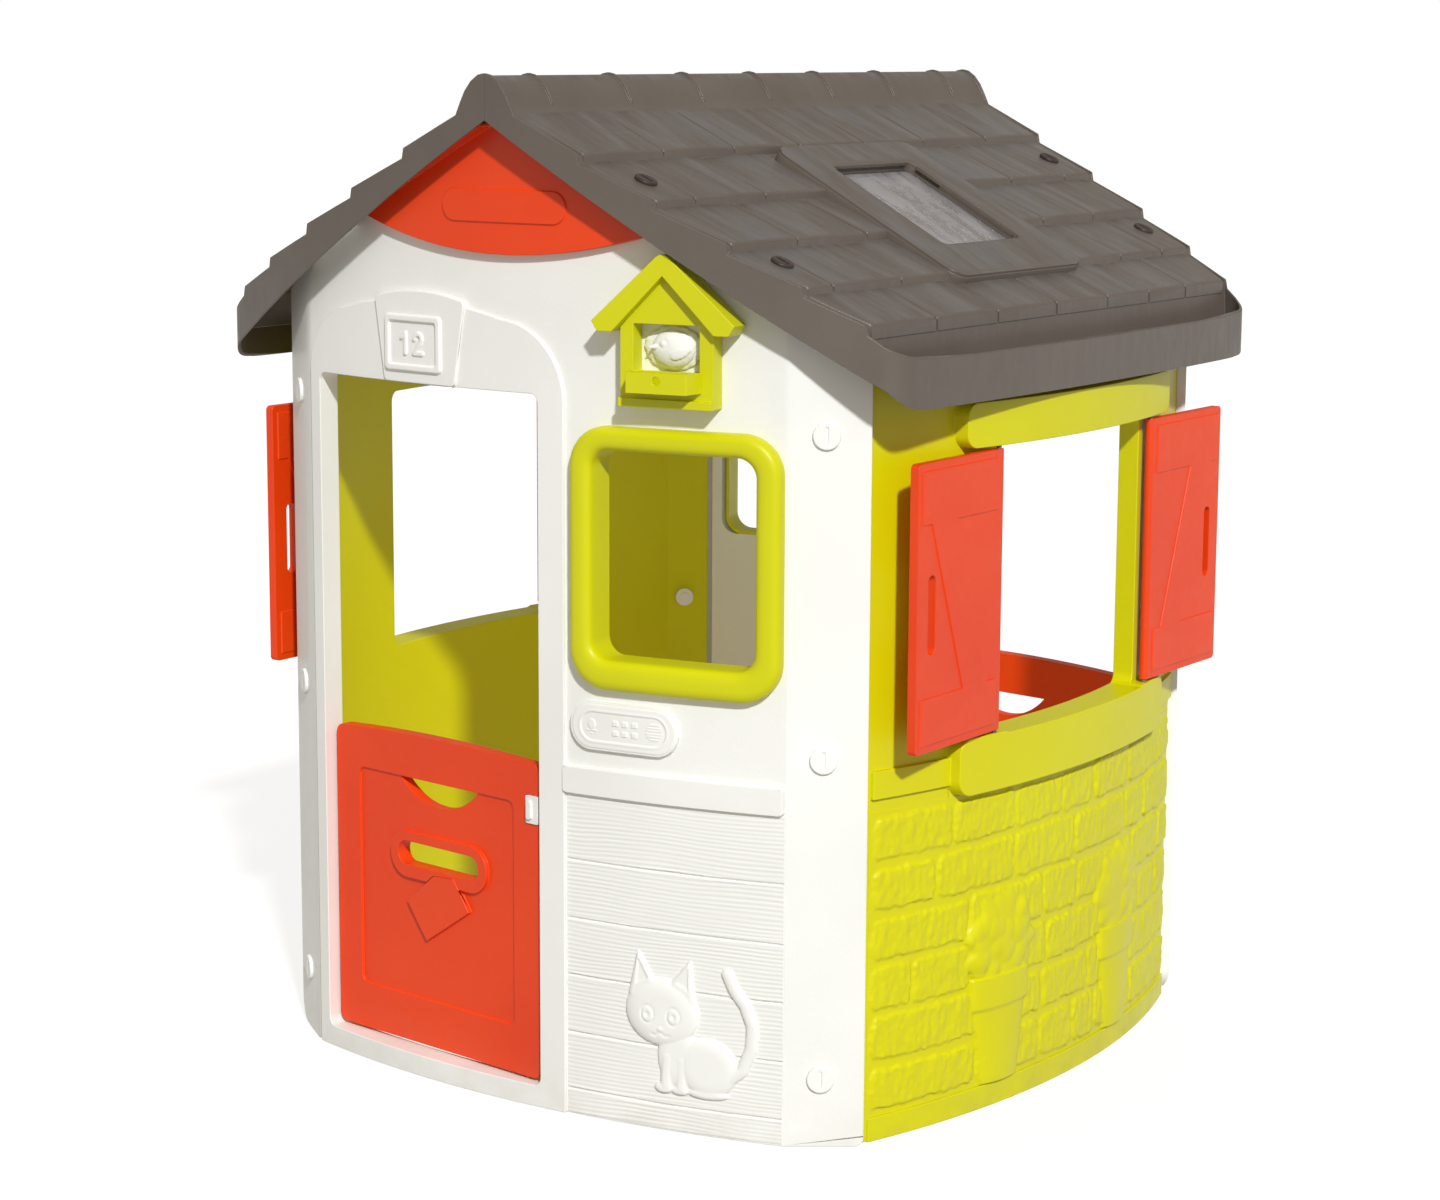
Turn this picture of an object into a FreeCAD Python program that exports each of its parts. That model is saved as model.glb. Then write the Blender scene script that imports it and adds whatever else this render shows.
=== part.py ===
import FreeCAD, Part
import math
import os

# Plastic garden playhouse. Millimetres, +Z up, front wall towards -Y, ridge along Y.
# The origin is on the ground under the middle of the plan.

V = FreeCAD.Vector
UP = V(0, 0, 1)

# Overall
ROOF_TOP = 1620.0
WALL = 36.0              # thickness of the double-skinned wall panels
GAP = 0.3                # air left between pieces that touch in real life

# Front and back wall plan: one shallow arc and a flat corner band at each end
SEAM_X = 474.0
SEAM_Y = 580.0
FRONT_SAG = 66.0
BAND_W = 123.0
BAND_T = 17.8
BAND_TURN = math.radians(35.96)
FRONT_END_X = 455.0      # where the thick middle of the wall stops inside
LEFT_TOE_R = 40.0
RIGHT_TOE_R = 14.0

# Side wall plan
SIDE_SAG = 81.5
SIDE_TOP = 1195.0
FLANGE_T = 20.0

# Doorway and half door
DOOR_X0 = -432.0
DOOR_X1 = 58.0
DOOR_Z0 = 35.0
DOOR_Z1 = 1136.0
LEAF_W = 481.0
LEAF_T = 24.0
LEAF_Z0 = 40.0
LEAF_Z1 = 550.0
LEAF_RISE = 8.0
LEAF_START = V(-427.0, -576.0, 0)
LEAF_END = V(54.0, -640.0, 0)
HINGE_X = -436.0
HINGE_Y = -537.0
HINGE_ZS = (120.0, 470.0)
KNUCKLE_R = 9.0
PIN_R = 4.0
RUN = 0.08               # radial running clearance of every pin

# Window in the front and back wall
WIN = (163.0, 430.0, 738.0, 1060.0)
RING = (124.0, 469.0, 690.0, 1096.0)
RING_OUT = 25.0

# Side window and shutters
SIDE_WIN_Y = 235.0
SIDE_WIN_Z0 = 610.0
SIDE_WIN_Z1 = 1062.0
SILL_Y = 335.0
SILL_OUT = 24.0
SILL_Z0 = 522.0
SILL_Z1 = 613.0
LINTEL_Z1 = 1132.0
PIVOT_X = 640.0
PIVOT_Y = 249.0
SHUTTER_W = 246.0
SHUTTER_T = 15.0
SHUTTER_Z0 = 618.0
SHUTTER_Z1 = 1057.0

# Roof
ROOF_FRONT = 703.0
ROOF_BOW = 131.0
ROOF_BOW_X = 636.0
EAVE_MID = 682.0
EAVE_END = 664.0
EAVE_END_Y = 500.0
ROOF_CORNER_R = 60.0
RIM_T = 5.0
UNDER_Z = 1567.0
UNDER_SLOPE = 0.527
TOP_SLOPE = 0.5447
ROOF_ANGLE = math.degrees(math.atan(TOP_SLOPE))
SKY_X0 = 247.0
SKY_X1 = 461.0
SKY_Y = 122.0
ROOF_SCREWS = ((234.0, 612.0), (450.0, 568.0))
WALL_SCREW_S = 56.0
WALL_SCREW_ZS = (108.0, 606.0, 1096.0)


def arc_radius(half_chord, sag):
    return (half_chord * half_chord + sag * sag) / (2 * sag)


FRONT_R = arc_radius(SEAM_X, FRONT_SAG)
FRONT_CY = FRONT_R - SEAM_Y - FRONT_SAG
BAND_DIR = V(math.cos(BAND_TURN), math.sin(BAND_TURN), 0)
BAND_IN = V(-math.sin(BAND_TURN), math.cos(BAND_TURN), 0)


def band_point(s, t):
    """Point in plan, s along the right front corner band and t into the house."""
    return V(SEAM_X, -SEAM_Y, 0) + BAND_DIR * s + BAND_IN * t


SIDE_CORNER = band_point(BAND_W, BAND_T + GAP)
SIDE_HALF = -SIDE_CORNER.y
SIDE_R = arc_radius(SIDE_HALF, SIDE_SAG)
SIDE_CX = SIDE_CORNER.x + SIDE_SAG - SIDE_R


def mirror_x(p):
    return V(-p.x, p.y, p.z)


def mirror_y(p):
    return V(p.x, -p.y, p.z)


def front_y(x, inset=0.0):
    r = FRONT_R - inset
    return FRONT_CY - math.sqrt(r * r - x * x)


def side_x(y, inset=0.0):
    r = SIDE_R - inset
    return SIDE_CX + math.sqrt(r * r - y * y)


def line(a, b):
    return Part.makeLine(a, b)


def arc(a, m, b):
    return Part.Arc(a, m, b).toShape()


def polygon_face(points):
    edges = [line(points[i], points[(i + 1) % len(points)]) for i in range(len(points))]
    return Part.Face(Part.Wire(edges))


def prism_xz(points, y0, y1):
    """Outline in the XZ plane pushed along Y."""
    face = polygon_face([V(p[0], y0, p[1]) for p in points])
    return face.extrude(V(0, y1 - y0, 0))


def round_edges(shape, radius, axis):
    """Round the straight edges of a block that run along one axis."""
    picked = []
    for edge in shape.Edges:
        if edge.Curve.TypeId != "Part::GeomLine":
            continue
        direction = edge.tangentAt(edge.FirstParameter)
        if abs(abs(direction.dot(axis)) - 1) < 1e-6:
            picked.append(edge)
    return shape.makeFillet(radius, picked)


def block(x0, x1, y0, y1, z0, z1, radius=0.0, axis=None):
    shape = Part.makeBox(x1 - x0, y1 - y0, z1 - z0, V(x0, y0, z0))
    if radius:
        shape = round_edges(shape, radius, axis)
    return shape


def through_front(x0, x1, z0, z1, radius):
    return block(x0, x1, -760, -480, z0, z1, radius, V(0, 1, 0))


def through_side(y0, y1, z0, z1, radius):
    return block(480, 760, y0, y1, z0, z1, radius, V(1, 0, 0))


def front_shell(inner, outer, z0, z1, half=SEAM_X):
    """Slice of the front wall's arc between two offsets from its outer face."""
    big = Part.makeCylinder(FRONT_R + outer, z1 - z0, V(0, FRONT_CY, z0))
    small = Part.makeCylinder(FRONT_R + inner, z1 - z0, V(0, FRONT_CY, z0))
    window = Part.makeBox(2 * half, 320, z1 - z0, V(-half, -800, z0))
    return big.cut(small).common(window)


def side_shell(inner, outer, z0, z1, half):
    big = Part.makeCylinder(SIDE_R + outer, z1 - z0, V(SIDE_CX, 0, z0))
    small = Part.makeCylinder(SIDE_R + inner, z1 - z0, V(SIDE_CX, 0, z0))
    window = Part.makeBox(400, 2 * half, z1 - z0, V(450, -half, z0))
    return big.cut(small).common(window)


def under_line(x, drop=0.0):
    return UNDER_Z - drop - UNDER_SLOPE * abs(x)


def gable_prism(drop, flat_top):
    """Everything below the roof's underside, as seen from the front."""
    shoulder = (UNDER_Z - drop - flat_top) / UNDER_SLOPE
    pts = [(-600, 0), (600, 0), (600, under_line(600, drop)), (shoulder, flat_top),
           (-shoulder, flat_top), (-600, under_line(600, drop))]
    return prism_xz(pts, -800, -300)


def make_front_wall():
    inner_end = V(FRONT_END_X, front_y(FRONT_END_X, WALL), 0)
    seam = V(SEAM_X, -SEAM_Y, 0)
    corner = band_point(BAND_W, 0)
    back = band_point(BAND_W, BAND_T)
    root = band_point(0, BAND_T)
    right = [seam, corner, back, root, inner_end]
    left = [mirror_x(p) for p in right]
    edges = [arc(left[0], V(0, -SEAM_Y - FRONT_SAG, 0), right[0])]
    edges += [line(right[i], right[i + 1]) for i in range(4)]
    edges.append(arc(right[4], V(0, front_y(0, WALL), 0), left[4]))
    edges += [line(left[i + 1], left[i]) for i in reversed(range(4))]
    body = Part.Face(Part.Wire(edges)).extrude(V(0, 0, 1560))
    body = body.common(gable_prism(5.0, 1526.0))
    # Rounded lower corner at each end of the wall
    for tip, radius in ((mirror_x(corner), LEFT_TOE_R), (corner, RIGHT_TOE_R)):
        toes = [e for e in body.Edges if e.BoundBox.ZMax < 0.1 and e.Length < 20
                and (V(e.CenterOfMass.x, e.CenterOfMass.y, 0) - tip).Length < 12]
        body = body.makeFillet(radius, toes)

    # Raised arch round the doorway with its keystone
    outline = [line(V(106, -760, 0), V(106, -760, 1120)),
               arc(V(106, -760, 1120), V(78, -760, 1203), V(-10, -760, 1246)),
               arc(V(-10, -760, 1246), V(-187, -760, 1268), V(-364, -760, 1246)),
               arc(V(-364, -760, 1246), V(-434, -760, 1206), V(-458, -760, 1130)),
               line(V(-458, -760, 1130), V(-458, -760, 0)),
               line(V(-458, -760, 0), V(106, -760, 0))]
    arch = Part.Face(Part.Wire(outline)).extrude(V(0, 280, 0))
    body = body.fuse(front_shell(-2, 6, 0, 1300).common(arch))
    outline = [arc(V(-281, -760, 1269), V(-181, -760, 1282), V(-82, -760, 1269)),
               line(V(-82, -760, 1269), V(-104, -760, 1137)),
               line(V(-104, -760, 1137), V(-259, -760, 1137)),
               line(V(-259, -760, 1137), V(-281, -760, 1269))]
    key = Part.Face(Part.Wire(outline)).extrude(V(0, 280, 0))
    body = body.fuse(front_shell(-2, 11, 1100, 1300).common(round_edges(key, 8, V(0, 1, 0))))

    # Call panel, ledge and the shelf that carries the verge of the roof
    body = body.fuse(front_shell(-2, 8, 580, 690).common(through_front(119, 306, 593, 669, 37.5)))
    body = body.fuse(front_shell(-2, 9, 500, 600).common(through_front(104, 473.5, 520, 563, 6)))
    for sign in (-1, 1):
        shelf = [(sign * 330, under_line(330, 5)), (sign * 455, under_line(455, 5)),
                 (sign * 455, under_line(455, 17)), (sign * 330, under_line(330, 17))]
        body = body.fuse(front_shell(-2, 30, 1200, 1500, 460).common(prism_xz(shelf, -760, -480)))

    # Openings
    body = body.cut(through_front(DOOR_X0, DOOR_X1, DOOR_Z0, DOOR_Z1, 14))
    body = body.cut(through_front(WIN[0] - 6, WIN[1] + 6, WIN[2] - 6, WIN[3] + 6, 30))

    # Plank joints
    for z in (42, 134, 227, 319, 413):
        body = body.cut(front_shell(-2.5, 4, z - 1.5, z + 1.5).common(block(110, 470, -760, -480, 0, 500)))

    for shape in fastener_holes():
        body = body.cut(shape)
    body = body.cut(front_roof_holes())
    return body.removeSplitter()


def fastener_holes():
    """Clear holes for the corner screws of one front or back wall."""
    holes = []
    for z in WALL_SCREW_ZS:
        p = band_point(WALL_SCREW_S, -5)
        p.z = z
        hole = Part.makeCylinder(9.4, 60, p, BAND_IN)
        holes.append(hole)
        holes.append(hole.mirror(V(0, 0, 0), V(1, 0, 0)))
    return holes


def front_roof_holes():
    holes = []
    for x, y in ROOF_SCREWS:
        for sign in (-1, 1):
            holes.append(Part.makeCylinder(6.3, 80, V(sign * x, -y, under_line(x) - 60), UP))
    return holes[0].fuse(holes[1:])


def make_side_wall():
    t0 = BAND_T + GAP
    t1 = t0 + FLANGE_T
    s = BAND_W
    while (band_point(s, t1) - V(SIDE_CX, 0, 0)).Length > SIDE_R - WALL:
        s -= 0.05
    outer = band_point(BAND_W, t0)
    lip = band_point(12, t0)
    lip_in = band_point(12, t1)
    joint = band_point(s, t1)
    edges = [arc(outer, V(side_x(0), 0, 0), mirror_y(outer)),
             line(mirror_y(outer), mirror_y(lip)),
             line(mirror_y(lip), mirror_y(lip_in)),
             line(mirror_y(lip_in), mirror_y(joint)),
             arc(mirror_y(joint), V(side_x(0, WALL), 0, 0), joint),
             line(joint, lip_in),
             line(lip_in, lip),
             line(lip, outer)]
    body = Part.Face(Part.Wire(edges)).extrude(V(0, 0, SIDE_TOP))

    # Bulging sill and lintel, plinth and ledge
    body = body.fuse(side_shell(-2, SILL_OUT, 450, 700, 400).common(
        through_side(-SILL_Y, SILL_Y, SILL_Z0, SILL_Z1, 26)))
    body = body.fuse(side_shell(-2, SILL_OUT, 1000, 1180, 400).common(
        through_side(-SILL_Y + 5, SILL_Y - 5, SIDE_WIN_Z1, LINTEL_Z1, 22)))
    body = body.fuse(side_shell(-2, 5, 0, 38, 488))
    for sign in (-1, 1):
        ledge = side_shell(-2, 7, 540, 584, 488)
        body = body.fuse(ledge.common(block(450, 800, min(sign * 488, sign * 325),
                                            max(sign * 488, sign * 325), 500, 620)))

    body = body.cut(through_side(-SIDE_WIN_Y, SIDE_WIN_Y, SIDE_WIN_Z0, SIDE_WIN_Z1, 18))
    # Sockets of the shutter pins
    for sign in (-1, 1):
        body = body.cut(Part.makeCylinder(PIN_R + 1, 46, V(PIVOT_X, sign * PIVOT_Y, SILL_Z1 - 20), UP))
        body = body.cut(Part.makeCylinder(PIN_R + 1, 46, V(PIVOT_X, sign * PIVOT_Y, SIDE_WIN_Z1 - 26), UP))
    for shape in fastener_holes():
        if shape.BoundBox.XMin > 0:
            body = body.cut(shape)
            body = body.cut(shape.mirror(V(0, 0, 0), V(0, 1, 0)))
    return body.removeSplitter()


def roof_plan(inset, z0, z1):
    """The bowed plan of one roof half, drawn in by an inset."""
    radius = arc_radius(ROOF_BOW_X, ROOF_BOW)
    eave_r = arc_radius(EAVE_END_Y, EAVE_MID - EAVE_END)
    height = z1 - z0
    front = Part.makeCylinder(radius - inset, height, V(0, radius - ROOF_FRONT, z0))
    back = Part.makeCylinder(radius - inset, height, V(0, ROOF_FRONT - radius, z0))
    eave = Part.makeCylinder(eave_r - inset, height, V(EAVE_MID - eave_r, 0, z0))
    half = Part.makeBox(900, 1800, height, V(GAP / 2, -900, z0))
    body = half.common(front).common(back).common(eave)
    corners = []
    for edge in body.Edges:
        box = edge.BoundBox
        if box.ZLength > height - 1 and box.XLength < 0.1 and box.XMin > 300:
            corners.append(edge)
    return body.makeFillet(ROOF_CORNER_R - inset, corners)


def sloped_box(a0, a1, half_y, b0, b1, radius):
    """Block lying on the roof slope: a runs down the slope, b stands off it."""
    body = Part.makeBox(a1 - a0, 2 * half_y, b1 - b0, V(a0, -half_y, b0))
    if radius:
        body = round_edges(body, radius, UP)
    body.rotate(V(0, 0, 0), V(0, 1, 0), ROOF_ANGLE)
    body.translate(V(0, 0, 1606))
    return body


CAP = [(0, 1620), (12, 1617.5), (26, 1608), (38, 1593), (47, 1576)]
CAP_SKIN = [(0, 1616.5), (12, 1614), (24, 1605), (35, 1590.5), (45, 1573)]
CAP_UNDER = [(45, 1565), (30, 1582), (16, 1598), (0, 1603)]
CAP_BEADS = (-593, -391, -193, 0, 193, 391, 593)
ROWS = [(56, 1556, 166, 1500), (170, 1488, 288, 1435), (292, 1423.5, 405, 1374.5),
        (409, 1361.5, 517, 1314), (521, 1302.5, 605, 1261.5)]
TROUGH_Z = 1201.0
COS_A = math.cos(math.radians(ROOF_ANGLE))


def make_roof_half():
    top = list(CAP_SKIN)
    for x0, z0, x1, z1 in ROWS:
        top += [(x0, z0), (x1, z1)]
    top += [(609, TROUGH_Z), (720, TROUGH_Z)]
    under = [(720, TROUGH_Z - 5), (603, TROUGH_Z - 5), (603, under_line(603)), (50, under_line(50)),
             (40, 1558), (30, 1582), (16, 1600), (0, 1605)]
    skin = prism_xz(top + under, -760, 760)
    # The verge rim steps with the tile rows
    crest = CAP + [point for x0, z0, x1, z1 in ROWS for point in ((x0, z0 + 1), (x1 + 1, z1 + 4.5))]
    rim_zone = prism_xz(crest + [(610, 1251), (640, 1230), (668, 1213), (720, 1213),
                                 (720, 1140), (664, 1140), (636, 1170), (0, 1549.5)], -760, 760)
    plan = roof_plan(0, 1100, 1660)
    inner_plan = roof_plan(RIM_T, 1100, 1660)
    body = skin.common(plan)
    rim = plan.cut(inner_plan).common(rim_zone)
    body = body.fuse(rim)
    # Beads between the ridge tiles
    for y in CAP_BEADS:
        bead = prism_xz(CAP + CAP_UNDER, y - 2, y + 2)
        body = body.fuse(bead.common(plan))
    # Flange that meets the other half under the ridge
    flange = Part.makeBox(6, 1276, 78, V(GAP / 2, -638, 1532))
    body = body.fuse(flange)
    # Skylight kerb and its stepped opening
    kerb = sloped_box(188 / COS_A, 538 / COS_A, 205, -29, 0, 34)
    body = body.fuse(kerb)
    body = body.cut(sloped_box(SKY_X0 / COS_A, SKY_X1 / COS_A, SKY_Y, -20, 20, 14))
    body = body.cut(sloped_box(SKY_X0 / COS_A + 9, SKY_X1 / COS_A - 9, SKY_Y - 9, -90, 20, 8))
    for x, y in ROOF_SCREWS:
        for sign in (-1, 1):
            body = body.cut(Part.makeCylinder(6.3, 90, V(x, sign * y, roof_top(x) - 70), UP))
    # Drain hole of the gutter
    for sign in (-1, 1):
        body = body.cut(Part.makeCylinder(6, 30, V(645, sign * 478, TROUGH_Z - 12), UP))
    return body.removeSplitter()


def roof_top(x):
    """Height of the tiles at x."""
    for x0, z0, x1, z1 in ROWS:
        if x0 <= x <= x1:
            return z0 + (z1 - z0) * (x - x0) / (x1 - x0)
    return under_line(x) + 12


def make_skylight_pane():
    return sloped_box(SKY_X0 / COS_A + 1, SKY_X1 / COS_A - 1, SKY_Y - 1, -20, -17, 13)


GABLE_TOP = 1546.0


def make_gable():
    shoulder = (UNDER_Z - 7 - GABLE_TOP) / UNDER_SLOPE
    radius = 900.0
    low = 1346.0
    tip = 0.0
    while low + radius - math.sqrt(radius * radius - tip * tip) < under_line(tip, 7):
        tip += 0.05
    tip_z = under_line(tip, 7)
    edges = [line(V(-shoulder, -760, GABLE_TOP), V(shoulder, -760, GABLE_TOP)),
             line(V(shoulder, -760, GABLE_TOP), V(tip, -760, tip_z)),
             arc(V(tip, -760, tip_z), V(0, -760, low), V(-tip, -760, tip_z)),
             line(V(-tip, -760, tip_z), V(-shoulder, -760, GABLE_TOP))]
    outline = Part.Face(Part.Wire(edges)).extrude(V(0, 280, 0))
    body = front_shell(GAP, 14, 1300, 1580).common(outline)
    eaves = prism_xz([(shoulder, GABLE_TOP), (tip, tip_z), (tip - 10, tip_z), (shoulder - 4, GABLE_TOP - 6),
                      (-shoulder + 4, GABLE_TOP - 6), (-tip + 10, tip_z), (-tip, tip_z), (-shoulder, GABLE_TOP)], -760, -480)
    body = body.fuse(front_shell(GAP, 40, 1300, 1580).common(eaves))
    plaque = through_front(-120, 120, 1395, 1445, 24.9)
    body = body.fuse(front_shell(10, 17, 1380, 1460).common(plaque))
    return body.removeSplitter()


def make_window_ring():
    outer = through_front(RING[0], RING[1], RING[2], RING[3], 62)
    inner = through_front(WIN[0], WIN[1], WIN[2], WIN[3], 26)
    plug = through_front(WIN[0] - 5.5, WIN[1] + 5.5, WIN[2] - 5.5, WIN[3] + 5.5, 29.5)
    body = front_shell(GAP, RING_OUT, 600, 1200).common(outer)
    body = body.fuse(front_shell(-WALL, 4, 600, 1200).common(plug))
    return body.cut(inner).removeSplitter()


def leaf_frame():
    along = (LEAF_END - LEAF_START).normalize()
    inward = V(-along.y, along.x, 0)
    return along, inward


def leaf_point(s, t, z):
    along, inward = leaf_frame()
    return LEAF_START + along * s + inward * t + V(0, 0, z)


def leaf_prism(points, t0, t1):
    """Outline on the door leaf, s to the right and z up, from depth t0 to t1."""
    inward = leaf_frame()[1]
    face = polygon_face([leaf_point(s, t0, z) for s, z in points])
    return face.extrude(inward * (t1 - t0))


def leaf_block(s0, s1, z0, z1, t0, t1, radius):
    body = leaf_prism([(s0, z0), (s1, z0), (s1, z1), (s0, z1)], t0, t1)
    if radius:
        body = round_edges(body, radius, leaf_frame()[1])
    return body


def make_door():
    w = LEAF_W
    a = leaf_point(0, 0, LEAF_Z0)
    b = leaf_point(w, 0, LEAF_Z0)
    c = leaf_point(w, 0, LEAF_Z1)
    d = leaf_point(0, 0, LEAF_Z1)
    crown = leaf_point(w / 2, 0, LEAF_Z1 + LEAF_RISE)
    inward = leaf_frame()[1]
    face = Part.Face(Part.Wire([line(a, b), line(b, c), arc(c, crown, d), line(d, a)]))
    body = face.extrude(inward * LEAF_T)
    body = round_edges(body, 16, inward)
    # Sunk panel with the half-round spy hole and the slot handle
    body = body.cut(leaf_block(57, 421, 118, 485, -1, 4, 12))
    hole = Part.makeCylinder(123, 60, leaf_point(246, -20, 567), inward)
    hole = hole.common(leaf_block(120, 372, 430, 485, -20, 40, 0))
    body = body.cut(hole)
    body = body.fuse(leaf_block(134, 362, 318, 396, -3, 8, 38.5))
    tag = leaf_prism([(238, 332), (284, 335), (321, 285), (220, 219), (174, 279)], -4, 8)
    body = body.fuse(tag)
    body = body.cut(leaf_block(153, 342, 340, 379, -20, 60, 19.4))
    # Notch for the latch plate
    body = body.cut(leaf_block(452, w + 5, 456, 502, -5, 14, 0))
    for z in HINGE_ZS:
        barrel = Part.makeCylinder(KNUCKLE_R, 30, V(HINGE_X, HINGE_Y, z - 15), UP)
        arm = polygon_face([leaf_point(3, LEAF_T - 2, z - 15), leaf_point(30, LEAF_T - 2, z - 15),
                            V(HINGE_X + 3, HINGE_Y + 8, z - 15), V(HINGE_X - 3, HINGE_Y - 5, z - 15)])
        body = body.fuse(barrel).fuse(arm.extrude(V(0, 0, 30)))
        body = body.cut(Part.makeCylinder(PIN_R + RUN, 40, V(HINGE_X, HINGE_Y, z - 20), UP))
    return body.removeSplitter()


def make_latch():
    plate = leaf_block(452.5, LEAF_W - 1, 456.5, 501.5, -3, 13.5, 3)
    grip = leaf_block(458, 468, 464, 494, -8, -2, 4)
    return plate.fuse(grip).removeSplitter()


def make_door_brackets():
    solids = []
    for z in HINGE_ZS:
        y_wall = front_y(-454, WALL) + GAP
        base = Part.makeBox(13, 3.2, 60, V(-454, y_wall, z - 30))
        for z0 in (z + 16, z - 24):
            eye = Part.makeCylinder(KNUCKLE_R, 8, V(HINGE_X, HINGE_Y, z0), UP)
            web = polygon_face([V(-454, y_wall + 1, z0), V(-441, y_wall + 1, z0),
                                V(HINGE_X + 2, HINGE_Y - 8.6, z0), V(HINGE_X - 5, HINGE_Y + 7, z0),
                                V(-454, y_wall + 12, z0)])
            base = base.fuse(eye).fuse(web.extrude(V(0, 0, 8)))
        base = base.cut(Part.makeCylinder(PIN_R + 0.05, 80, V(HINGE_X, HINGE_Y, z - 40), UP))
        solids.append(base.removeSplitter())
    return Part.makeCompound(solids)


def make_door_pins():
    solids = []
    for z in HINGE_ZS:
        shank = Part.makeCylinder(PIN_R, 52, V(HINGE_X, HINGE_Y, z - 27), UP)
        head = Part.makeCylinder(PIN_R + 2.5, 3, V(HINGE_X, HINGE_Y, z + 24.3), UP)
        solids.append(shank.fuse(head).removeSplitter())
    return Part.makeCompound(solids)


def make_shutter(side):
    """Right wall shutter in its open rest position; side -1 is the front one."""
    y0 = side * PIVOT_Y
    y1 = side * (PIVOT_Y + SHUTTER_W)
    body = Part.makeBox(SHUTTER_T, SHUTTER_W, SHUTTER_Z1 - SHUTTER_Z0,
                        V(PIVOT_X - SHUTTER_T / 2, min(y0, y1), SHUTTER_Z0))
    free = []
    for edge in body.Edges:
        box = edge.BoundBox
        if abs(box.YMin - y1) < 0.01 and abs(box.YMax - y1) < 0.01 and box.XLength > 10:
            free.append(edge)
    body = body.makeFillet(8, free)
    body = body.fuse(Part.makeCylinder(SHUTTER_T / 2, SHUTTER_Z1 - SHUTTER_Z0, V(PIVOT_X, y0, SHUTTER_Z0), UP))

    def pads(points, depth=2.0):
        pts = [V(0, y0 + side * p[0], SHUTTER_Z0 + p[1]) for p in points]
        pad = polygon_face(pts).extrude(V(SHUTTER_T + 2 * depth, 0, 0))
        pad.translate(V(PIVOT_X - SHUTTER_T / 2 - depth, 0, 0))
        return pad

    h = SHUTTER_Z1 - SHUTTER_Z0
    body = body.fuse(pads([(14, 12), (234, 12), (234, 84), (14, 84)]))
    body = body.fuse(pads([(14, h - 12), (234, h - 12), (234, h - 92), (14, h - 92)]))
    body = body.fuse(pads([(40, 84), (112, 84), (208, h - 92), (136, h - 92)]))
    slot_y = y0 + side * 204
    slot = Part.makeBox(60, 21, 120, V(PIVOT_X - 30, slot_y - 10.5, 767))
    body = body.cut(round_edges(slot, 10.4, V(1, 0, 0)))
    for z in (SHUTTER_Z0 - 1, SHUTTER_Z1 - 17):
        body = body.cut(Part.makeCylinder(PIN_R + RUN, 18, V(PIVOT_X, y0, z), UP))
    return body.removeSplitter()


def make_shutter_pins():
    solids = []
    for side in (-1, 1):
        y = side * PIVOT_Y
        low = Part.makeCylinder(PIN_R, 33, V(PIVOT_X, y, SILL_Z1 - 19), UP)
        low = low.fuse(Part.makeCylinder(PIN_R + 0.9, 18, V(PIVOT_X, y, SILL_Z1 - 19), UP))
        top = Part.makeCylinder(PIN_R, 33, V(PIVOT_X, y, SHUTTER_Z1 - 14), UP)
        top = top.fuse(Part.makeCylinder(PIN_R + 0.9, 18, V(PIVOT_X, y, SIDE_WIN_Z1 + 1), UP))
        solids += [low.removeSplitter(), top.removeSplitter()]
    return Part.makeCompound(solids)


def front_tangent(x):
    angle = math.asin(x / FRONT_R)
    return V(math.cos(angle), math.sin(angle), 0), V(math.sin(angle), -math.cos(angle), 0)


BIRD_X = 296.0
BIRD_Z0 = 1117.0


def bird_frame_prism(points, n0, n1):
    """Outline on a flat board fixed to the wall: u along it, z up, n outwards."""
    along, out = front_tangent(BIRD_X)
    base = V(BIRD_X, front_y(BIRD_X), BIRD_Z0)
    pts = [base + along * u + out * n0 + V(0, 0, z) for u, z in points]
    return polygon_face(pts).extrude(out * (n1 - n0))


def bird_plan_prism(points, z0, z1):
    """Outline in plan, u along the wall and n outwards, from height z0 to z1."""
    along, out = front_tangent(BIRD_X)
    base = V(BIRD_X, front_y(BIRD_X), BIRD_Z0 + z0)
    return polygon_face([base + along * u + out * n for u, n in points]).extrude(V(0, 0, z1 - z0))


def make_bird_house():
    gabled = [(-77, 14), (77, 14), (77, 132), (0, 214), (-77, 132)]
    body = bird_frame_prism(gabled, 5, 30)
    # Back corners follow the curve of the wall
    body = body.fuse(bird_frame_prism(gabled, -4, 6))
    body = body.cut(Part.makeCylinder(FRONT_R + GAP, 400, V(0, FRONT_CY, 1000)))
    out = front_tangent(BIRD_X)[1]
    hole = round_edges(bird_frame_prism([(-55, 66), (54, 66), (54, 138), (-55, 138)], -30, 80), 3, out)
    body = body.cut(hole)
    roof = bird_frame_prism([(-4, 242), (-10, 239), (-118, 141), (-108, 125.5), (-84, 125.5), (0, 210.5),
                             (84, 125.5), (108, 125.5), (118, 141), (10, 239), (4, 242)], 3.2, 46)
    body = body.fuse(roof)
    body = body.cut(Part.makeCylinder(FRONT_R + GAP, 400, V(0, FRONT_CY, 1000)))
    ledge = bird_frame_prism([(-77, 14), (77, 14), (77, 27), (-77, 27)], 20, 38)
    return body.fuse(ledge).removeSplitter()


def make_bird_tray():
    tray = bird_plan_prism([(-58, 30.3), (58, 30.3), (50, 66), (-50, 66)], 38, 69)
    scoop = bird_plan_prism([(-52.5, 34), (52.5, 34), (46, 62), (-46, 62)], 43, 75)
    tray = tray.cut(scoop)
    out = front_tangent(BIRD_X)[1]
    centre = V(BIRD_X, front_y(BIRD_X), BIRD_Z0 + 57) + out * 56
    return tray.cut(Part.makeCylinder(6.5, 20, centre, out)).removeSplitter()


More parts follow.
